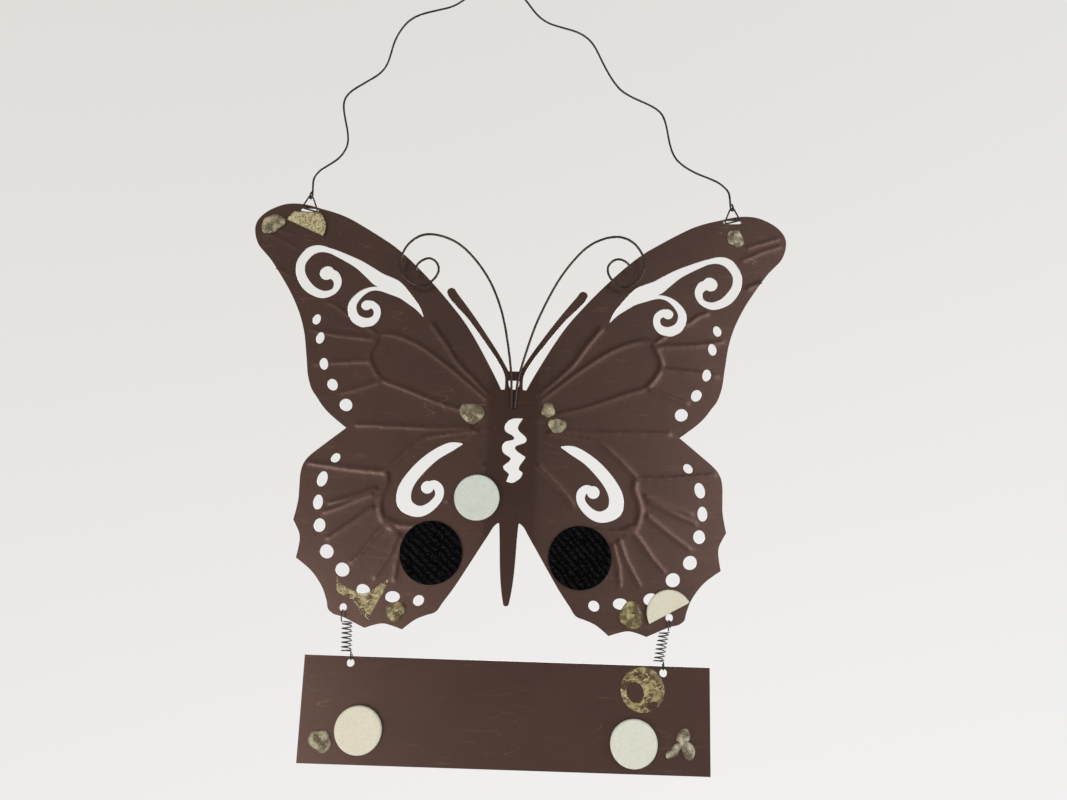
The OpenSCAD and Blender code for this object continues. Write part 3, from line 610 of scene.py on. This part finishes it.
def slab(name, loops, spacing, near_y, far_y, material, keep_off=0.45, extra=None):
    """A closed sheet over the loops, between its near (back) side and its far side, both functions
    of the points and their distance to the edge. Inner points keep this share of the spacing off
    the edge."""
    every = np.concatenate(loops)
    points = grid(every.min(0), every.max(0), spacing)
    if extra is not None:
        points = np.concatenate([points, extra])
    points = points[inside(points, loops)]
    points = points[distance_to(loops, points) > keep_off * spacing]
    flat, tri = fill(loops, points)
    away = distance_to(loops, flat)
    near = np.column_stack([flat[:, 0], near_y(flat, away), flat[:, 1]])
    far = np.column_stack([flat[:, 0], far_y(flat, away), flat[:, 1]])
    a, b, c = (flat[tri[:, k]] for k in range(3))
    turned = (b - a)[:, 0] * (c - a)[:, 1] - (b - a)[:, 1] * (c - a)[:, 0] < 0
    tri[turned] = tri[turned][:, ::-1]
    count = len(flat)
    rim = {}
    for t in tri:
        for k in range(3):
            edge = (int(t[k]), int(t[(k + 1) % 3]))
            if edge[::-1] in rim:
                del rim[edge[::-1]]
            else:
                rim[edge] = True
    walls = [(e[1], e[0], e[0] + count, e[1] + count) for e in rim]
    faces = [tuple(t) for t in tri] + [tuple(t[::-1] + count) for t in tri] + walls
    return add_piece(name, np.concatenate([near, far]), faces, material)


def round_edges(piece):
    modifier = piece.modifiers.new("rounded_edges", "BEVEL")
    modifier.width = EDGE_R
    modifier.segments = 2
    modifier.limit_method = "ANGLE"
    modifier.angle_limit = EDGE_ANGLE
    modifier.harden_normals = True


def lumps(points, coarse, fine, fine_share, seed, fine_seed):
    """Smooth noise of a coarse and a fine size at each point."""
    return np.array([noise.noise(Vector((x / coarse, z / coarse, seed)))
                     + fine_share * noise.noise(Vector((x / fine, z / fine, fine_seed)))
                     for x, z in points])


# ---- the butterfly's plate: the frame's outline and veins, with rounded edges and soft ridges ----
MAP_STEP = 0.5 * MM
RAYS_BEHIND = 10 * MM
RIDGE_BLUR = 0.75 * MM
BLUR_REACH = 3  # blurs
LEAST_SHEET = 0.05  # of the blur that has to fall on the sheet
LAST_CELL = 1.001
PLATE_EDGE_STEP = 1.3 * MM
PLATE_STEP, RIDGE_STEP, FOLD_STEP = 3 * MM, 0.8 * MM, 2 * MM
PLATE_KEEP_OFF = 0.2
SLOPE_REACH = 0.5 * MM
LEAST_SLOPE = 0.04 * MM  # across twice that reach, where the finer grid is wanted
FOLD_LINES = (-1 * MM, 0, 1 * MM)


def vein_map():
    """How far the veins stand out behind the sheet, on a grid of points over the plate, blurred."""
    tree = BVHTree.FromObject(nodes["butterfly_plate"], bpy.context.evaluated_depsgraph_get())
    low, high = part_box("butterfly_plate")
    xs = np.arange(low.x, high.x, MAP_STEP)
    zs = np.arange(low.z, high.z, MAP_STEP)
    rise = np.zeros((len(xs), len(zs)))
    solid = np.zeros_like(rise)
    start_y, ahead = low.y - RAYS_BEHIND, Vector((0, 1, 0))
    for i, x in enumerate(xs):
        back = fold_y(x) - SHEET_T / 2
        for j, z in enumerate(zs):
            hit = tree.ray_cast(Vector((x, start_y, z)), ahead)[0]
            if hit:
                solid[i, j] = 1
                rise[i, j] = VEIN_RISE if back - hit.y > VEIN_RISE / 2 else 0
    reach = math.ceil(BLUR_REACH * RIDGE_BLUR / MAP_STEP)
    kernel = np.exp(-0.5 * (np.arange(-reach, reach + 1) * MAP_STEP / RIDGE_BLUR) ** 2)
    kernel /= kernel.sum()

    def blurred(values):
        for axis in (0, 1):
            values = np.apply_along_axis(lambda v: np.convolve(v, kernel, "same"), axis, values)
        return values

    return xs, zs, blurred(rise) / np.maximum(blurred(solid), LEAST_SHEET)


def look_up(table, points):
    """Values of a map between its grid points."""
    xs, zs, values = table
    u = np.clip((points[:, 0] - xs[0]) / MAP_STEP, 0, len(xs) - LAST_CELL)
    v = np.clip((points[:, 1] - zs[0]) / MAP_STEP, 0, len(zs) - LAST_CELL)
    i, j = u.astype(int), v.astype(int)
    s, t = u - i, v - j
    return ((values[i, j] * (1 - s) + values[i + 1, j] * s) * (1 - t)
            + (values[i, j + 1] * (1 - s) + values[i + 1, j + 1] * s) * t)


def make_plate():
    """The plate, with a finer grid where a vein's side slopes and along the two folds."""
    table = vein_map()
    loops = [smooth_loop(loop, PLATE_EDGE_STEP) for loop in outlines("butterfly_plate")]
    low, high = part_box("butterfly_plate")
    fine = grid((low.x, low.z), (high.x, high.z), RIDGE_STEP)
    slope = sum(abs(look_up(table, fine + step) - look_up(table, fine - step))
                for step in ((SLOPE_REACH, 0), (0, SLOPE_REACH)))
    fine = fine[slope > LEAST_SLOPE]
    folds = [BODY_X + side * (BODY_W / 2 + off) for side in (-1, 1) for off in FOLD_LINES]
    heights = np.arange(low.z, high.z, FOLD_STEP)
    creases = np.concatenate([np.column_stack([np.full(len(heights), x), heights]) for x in folds])

    def middle(points):
        return np.array([fold_y(x) for x in points[:, 0]]) - look_up(table, points)

    plate = slab("butterfly_plate_pressed", loops, PLATE_STEP,
                 lambda points, away: middle(points) - SHEET_T / 2,
                 lambda points, away: middle(points) + SHEET_T / 2,
                 SHEET_PAINT, PLATE_KEEP_OFF, np.concatenate([fine, creases]))
    round_edges(plate)
    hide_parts("butterfly_plate")
    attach(plate, "butterfly")


# ---- wires that stay as the frame has them, made round ----
WELD_REACH = 0.01 * MM
SMOOTHING = 2


def repaint(node, material):
    """The frame's own node with this material, as its only one."""
    nodes[node].data.materials.clear()
    nodes[node].data.materials.append(material)
    return nodes[node]


def round_wire(node, lost, material):
    """Smooths a faceted wire and gives it back the width that smoothing takes."""
    wire = repaint(node, material)
    weld = wire.modifiers.new("weld", "WELD")
    weld.merge_threshold = WELD_REACH
    smooth = wire.modifiers.new("round", "SUBSURF")
    smooth.levels = smooth.render_levels = SMOOTHING
    swell = wire.modifiers.new("swell", "DISPLACE")
    swell.strength = lost
    swell.mid_level = 0
    wire.data.shade_smooth()


# ---- springs: they stretch between the butterfly's holes and the sign's ----
SPRING_D = 0.7 * MM
SPRING_SIDES = 10
CURL_R = 2.7 * MM
WING_LOOP_R = 3.25 * MM
SIGN_LOOP_R = 2.1 * MM
CLOSE_PITCH = 1.2 * MM
OPEN_CURLS = 6
MORE_CURLS = {-1: 1.5, 1: 2}  # beside the open ones: the left coil starts half a turn on
CURL_STEPS = 24
LOOP_SWEEP, LOOP_STEP = 270, 15  # degrees
WING_HOLE_X = 90.4 * MM
SIGN_SHIFT = 1.5 * MM
HOLE_INSET = 4.8 * MM


def coil_drop(n, turns, height):
    """How far the coil has come down after n turns, close at both ends and open between them."""
    open_pitch = (height - 2 * CLOSE_PITCH) / (turns - 2)
    return (min(n, 1) * CLOSE_PITCH + max(0, min(n, turns - 1) - 1) * open_pitch
            + max(0, n - (turns - 1)) * CLOSE_PITCH)


def spring_route(side, top_x, low_x, top_z, low_z, y):
    """One wire: a loop through the wing, a coil, and a loop through the sign."""
    turns = OPEN_CURLS + MORE_CURLS[side]
    top_loop_z, low_loop_z = top_z - WING_LOOP_R, low_z + SIGN_LOOP_R
    start_z, end_z = top_loop_z - WING_LOOP_R, low_loop_z + SIGN_LOOP_R
    start_x, end_x = top_x - side * CURL_R, low_x - CURL_R
    route = [(top_x, y - side * WING_LOOP_R, top_loop_z - SPRING_D)]
    for degrees in range(LOOP_SWEEP, 0, -LOOP_STEP):
        a = math.radians(degrees)
        route.append((top_x, y + side * WING_LOOP_R * math.sin(a),
                      top_loop_z - WING_LOOP_R * math.cos(a)))
    for i in range(int(turns * CURL_STEPS) + 1):
        n = i / CURL_STEPS
        a = (0 if side > 0 else math.pi) - 2 * math.pi * n
        route.append((start_x + (end_x - start_x) * n / turns + CURL_R * math.cos(a),
                      y + CURL_R * math.sin(a), start_z - coil_drop(n, turns, start_z - end_z)))
    for degrees in range(LOOP_STEP, LOOP_SWEEP + 1, LOOP_STEP):
        a = math.radians(degrees)
        route.append((low_x, y - SIGN_LOOP_R * math.sin(a),
                      low_loop_z + SIGN_LOOP_R * math.cos(a)))
    route.append((low_x, y + SIGN_LOOP_R, low_loop_z + SPRING_D))
    return route


def make_spring(side, name):
    """One spring: its top rides on the body springs and its foot on the sign, and it stretches."""
    low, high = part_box(name)
    y = (low.y + high.y) / 2
    hinge = next(j for j in frame["joints"] if j["name"] == "sign_swing")
    top_z = hinge["pos_m"][2]
    low_z = low.z + SPRING_D / 2
    top_x = BODY_X + side * WING_HOLE_X
    low_x = BODY_X + SIGN_SHIFT + side * (WING_HOLE_X - HOLE_INSET)
    spring = tube(name + "_wound", spring_route(side, top_x, low_x, top_z, low_z, y), SPRING_D / 2,
                  DARK_WIRE, SPRING_SIDES)
    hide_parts(name)
    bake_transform(spring, "springs", "sign", start=(top_x, y, top_z - 2 * WING_LOOP_R - CLOSE_PITCH),
             end=(low_x, y, low_z + 2 * SIGN_LOOP_R + CLOSE_PITCH))


# ---- pads ----
FAR_OFF = 1
ANY_TILT = 0.02  # takes in a lump's steep sides too
FELT_EDGE = 0.7 * MM
FELT_RIM = 0.78  # of the thickness, at the edge
FELT_FUZZ = 0.10 * MM
FELT_LUMPS = (2.2 * MM, 0.8 * MM, 0.7)  # coarse and fine size, and the fine one's share
FELT_RAGGED = 0.06 * MM
FELT_STEP = 0.6 * MM
TAPE_BACKING = 0.55  # of the thickness
TAPE_RIM = 0.7  # of the backing, at the edge
TAPE_EDGE = 0.5 * MM
TAPE_RIB = 0.06 * MM
TAPE_RIB_X, TAPE_RIB_Z = 2.4 * MM, 1.2 * MM
TAPE_EDGE_STEP, TAPE_STEP = 0.8 * MM, 0.7 * MM
HOOK_PITCH_X, HOOK_PITCH_Z = 1.55 * MM, 1.25 * MM
# A hook's route: aside, in reaches, and along Y, in the hook's heights
HOOK_ROUTE = ((0, 0), (0.05, -0.5), (0.3, -0.95), (0.75, -0.8), (0.85, -0.45))
HOOK_REACH = 0.9 * MM
HOOK_JITTER = 0.2
HOOK_HALF_W, HOOK_TAPER = 0.16 * MM, 0.12
HOOK_RIDGE_X, HOOK_RIDGE_Y = 0.12 * MM, 0.1 * MM
HOOKLESS_RIM = 1.0 * MM


def thickest(node):
    """Where a node stands out farthest behind, and its near (back) and far sides there."""
    co, tri = shown_faces(node, ANY_TILT)
    centres = co[tri].mean(1)
    x, _, z = centres[centres[:, 1].argmin()]
    tree = BVHTree.FromObject(nodes[node], bpy.context.evaluated_depsgraph_get())
    near = tree.ray_cast(Vector((x, -FAR_OFF, z)), Vector((0, 1, 0)))[0]
    far = tree.ray_cast(Vector((x, FAR_OFF, z)), Vector((0, -1, 0)))[0]
    return x, near.y, far.y


def under(node):
    """A node's thickness, and the surface that it lies on: the bent wings', or the flat sign's."""
    x, near, far = thickest(node)
    if body_of(nodes[node]) == ["sign"]:
        return far - near, lambda points: np.full(len(points), far)
    lift = far - fold_y(x)
    return far - near, lambda points: np.array([fold_y(x) + lift for x in points[:, 0]])


def felt_pad(node, material, seed):
    """A felt pad with soft, slightly ragged edges and an uneven, matted face."""
    thick, base = under(node)

    def face(points, away):
        soft = np.clip(away / FELT_EDGE, 0, 1)
        sides = thick * (FELT_RIM + (1 - FELT_RIM) * np.sqrt(1 - (1 - soft) ** 2))
        matted = lumps(points, *FELT_LUMPS, seed, seed + 9)
        return base(points) - sides - FELT_FUZZ * matted

    def ragged(loop):
        return loop + FELT_RAGGED * np.array([[noise.noise(Vector((x / MM, z / MM, seed))),
                                               noise.noise(Vector((z / MM, x / MM, seed + 5)))]
                                              for x, z in loop])

    loops = [ragged(smooth_loop(loop, FELT_STEP)) for loop in outlines(node)]
    pad = slab(node + "_felt", loops, FELT_STEP, face, lambda points, away: base(points), material)
    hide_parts(node)
    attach(pad, body_of(nodes[node])[0])
    return pad


def add_hook(vertices, faces, foot, lean, reach, height):
    """One hook: a three-sided strip that stands up, bends over to one side and narrows."""
    x, y, z = foot
    first = len(vertices)
    for k, (aside, along_y) in enumerate(HOOK_ROUTE):
        cx, cy = x + aside * lean * reach, y + along_y * height
        wide = HOOK_HALF_W * (1 - HOOK_TAPER * k)
        vertices += [(cx, cy, z - wide), (cx + HOOK_RIDGE_X * lean, cy + HOOK_RIDGE_Y, z),
                     (cx, cy, z + wide)]
    last = first + 3 * (len(HOOK_ROUTE) - 1)
    for ring in range(first, last, 3):
        for m in range(3):
            n = (m + 1) % 3
            faces.append((ring + m, ring + n, ring + 3 + n, ring + 3 + m))
    faces.append((first, first + 2, first + 1))
    faces.append((last, last + 1, last + 2))


def hook_pad(node, seed):
    """A round of woven hook tape: a ribbed backing, with rows of stiff little hooks on it."""
    thick, base = under(node)
    backing = TAPE_BACKING * thick

    def face(points, away):
        rib = (np.sin(points[:, 0] / TAPE_RIB_X * 2 * math.pi)
               * np.sin(points[:, 1] / TAPE_RIB_Z * 2 * math.pi))
        soft = np.clip(away / TAPE_EDGE, 0, 1)
        return base(points) - backing * (TAPE_RIM + (1 - TAPE_RIM) * soft) - TAPE_RIB * rib

    loops = [smooth_loop(loop, TAPE_EDGE_STEP) for loop in outlines(node)]
    pad = slab(node + "_tape", loops, TAPE_STEP, face, lambda points, away: base(points), HOOK_TAPE)
    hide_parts(node)
    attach(pad, body_of(nodes[node])[0])

    middle = middle_of(node)
    radius = (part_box(node)[1].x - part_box(node)[0].x) / 2
    rows, columns = int(radius / HOOK_PITCH_Z), int(radius / HOOK_PITCH_X) + 1
    vertices, faces = [], []
    for row in range(-rows, rows + 1):
        for column in range(-columns, columns + 1):
            x = middle.x + (column + (row % 2) / 2) * HOOK_PITCH_X
            z = middle.z + row * HOOK_PITCH_Z
            if math.hypot(x - middle.x, z - middle.z) <= radius - HOOKLESS_RIM:
                foot_y = base(np.array([[x, z]]))[0] - backing
                lean = 1 if row % 2 else -1
                jitter = noise.noise(Vector((x / MM, z / MM, seed)))
                add_hook(vertices, faces, (x, foot_y, z), lean,
                         HOOK_REACH * (1 + HOOK_JITTER * jitter), thick - backing)
    hooks = add_piece(node + "_hooks", vertices, faces, HOOK_TAPE)
    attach(hooks, body_of(nodes[node])[0])


# ---- glue ----
GLUE_CORNER = math.radians(70)
GLUE_STEP = 0.7 * MM
GLUE_RIM = 0.12  # of the height
GLUE_SUNK = 0.02 * MM
GLUE_LUMPS = (3.2 * MM, 1.3 * MM, 0.5)  # coarse and fine size, and the fine one's share
GLUE_LOWEST, GLUE_HIGHEST = 0.08, 1.05  # of the height
FILM_DENT = 0.55  # how much lower a film is inside its bead
BEAD_W, BEAD_SLOPE = 0.5 * MM, 0.6 * MM


def glue_piece(node, rim, lumpiness, seed, material):
    """Dried glue over the frame's outline: its height swells from a thin rim, with lumps and dents.
    A film is thin inside a bead along its rim."""
    tall, base = under(node)
    loops = [smooth_loop(loop, GLUE_STEP, GLUE_CORNER) for loop in outlines(node, ANY_TILT)]
    dent = FILM_DENT if material is GLUE_FILM else 0

    def face(points, away):
        swell = np.sqrt(1 - (1 - np.clip(away / rim, 0, 1)) ** 2)
        lumpy = lumps(points, *GLUE_LUMPS, seed, seed + 3)
        rise = swell * (1 - lumpiness / 2 + lumpiness * lumpy)
        height = tall * (GLUE_RIM + (1 - GLUE_RIM) * rise)
        height *= 1 - dent * np.clip((away - BEAD_W) / BEAD_SLOPE, 0, 1)
        return base(points) - np.clip(height, GLUE_LOWEST * tall, GLUE_HIGHEST * tall)

    piece = slab(node + "_dried", loops, GLUE_STEP, face,
                 lambda points, away: base(points) + GLUE_SUNK, material)
    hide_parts(node)
    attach(piece, body_of(nodes[node])[0])


# ---- everything ----
ROUND_WIRES = (  # node, the width that smoothing takes, material
    ("hanger_wire", 0.058 * MM, DARK_WIRE),
    ("antenna_left", 0.115 * MM, WIRE_PAINT),
    ("antenna_right", 0.115 * MM, WIRE_PAINT))
FELT_PADS = (  # node, material, slot
    ("felt_pad_body", FELT_GREY, "felt"),
    ("felt_pad_sign_left", FELT, "felt"),
    ("felt_pad_sign_right", FELT_WHITE, "felt"),
    ("half_felt_pad_wing", FELT, "felt"),
    ("half_felt_pad_tip", FELT_GLUED, "glued_felt"))
GLUE_PIECES = (  # node, how far in its rim swells, lumpiness, material
    ("glue_tip_left", 4 * MM, 0.5, GLUE),
    ("glue_tip_right", 3 * MM, 0.6, GLUE_PALE),
    ("glue_root_left", 4 * MM, 0.5, GLUE),
    ("glue_root_right", 3 * MM, 0.6, GLUE),
    ("glue_sheet_left", 1.5 * MM, 0.8, GLUE_FILM),
    ("glue_lump_left", 4 * MM, 0.5, GLUE_OLIVE),
    ("glue_lump_right", 5 * MM, 0.6, GLUE_OLIVE),
    ("glue_disc_sign", 0.8 * MM, 0.5, GLUE_FILM),
    ("glue_corner_left", 4 * MM, 0.5, GLUE),
    ("glue_corner_right", 3 * MM, 0.6, GLUE_PALE))

bpy.context.scene.view_settings.view_transform = "Standard"
make_camera()
make_lamps()
make_world()
make_floor()
make_plate()
for wire_node, width_lost, wire_material in ROUND_WIRES:
    round_wire(wire_node, width_lost, wire_material)
for link in ("link_left", "link_right"):
    repaint(link, DARK_WIRE).data.shade_smooth()
make_spring(-1, "spring_left")
make_spring(1, "spring_right")
round_edges(repaint("sign_plate", SHEET_PAINT))
for number, (pad_node, pad_material, slot) in enumerate(FELT_PADS):
    felt_pad(pad_node, pad_material, 10 * number)
hook_pad("hook_pad_left", 1)
hook_pad("hook_pad_right", 2)
for number, (glue_node, glue_rim, glue_lumpiness, glue_material) in enumerate(GLUE_PIECES):
    glue_piece(glue_node, glue_rim, glue_lumpiness, 5 * number, glue_material)
